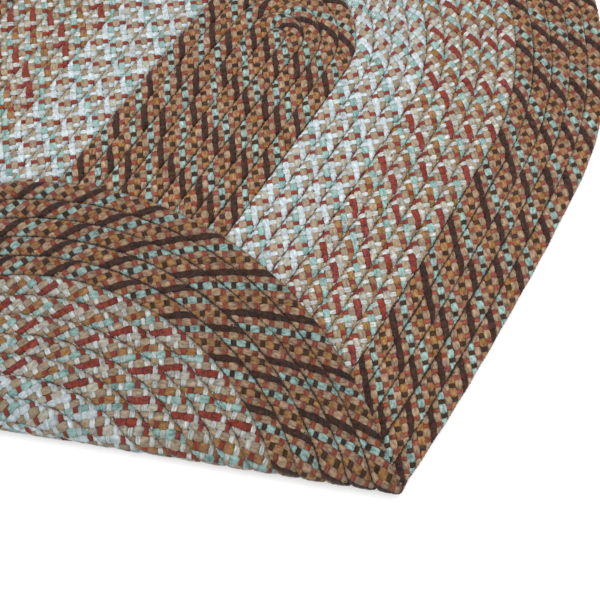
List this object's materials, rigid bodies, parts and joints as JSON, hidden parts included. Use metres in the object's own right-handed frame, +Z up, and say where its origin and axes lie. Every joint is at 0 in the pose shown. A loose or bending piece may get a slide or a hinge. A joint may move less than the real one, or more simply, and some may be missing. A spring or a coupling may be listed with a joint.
{
  "type": "oval braided rug, folded over at one end",
  "caption": "Oval rug of flat tubular braid laid in rounds and sewn edge to edge, in brown, red and white colour bands, one end folded over on top.",
  "frame": {"origin": "on the surface that the rug lies on, under the middle of the folded rug's bounding box", "axes": "+Z up from the surface; +Y away from the folded end; the long axis of the flat rug points 56 degrees round from +X towards +Y, and the fold line 8.8 degrees round from +X towards -Y"},
  "size_m": [0.7756, 0.6956, 0.034],
  "materials": {
    "brown_braid": "matte multicolour yarn braid, mostly tan, rust and dark brown with aqua flecks",
    "white_braid": "matte multicolour yarn braid, mostly white with aqua, sage, tan and rust flecks",
    "light_red_braid": "matte multicolour yarn braid, tan, white and sage with rust red slugs"
  },
  "bodies": {
    "root": {"centre_brown_band": "brown_braid", "white_band": "white_braid", "light_red_band": "light_red_braid", "outer_brown_band": "brown_braid"}
  },
  "joints": []
}
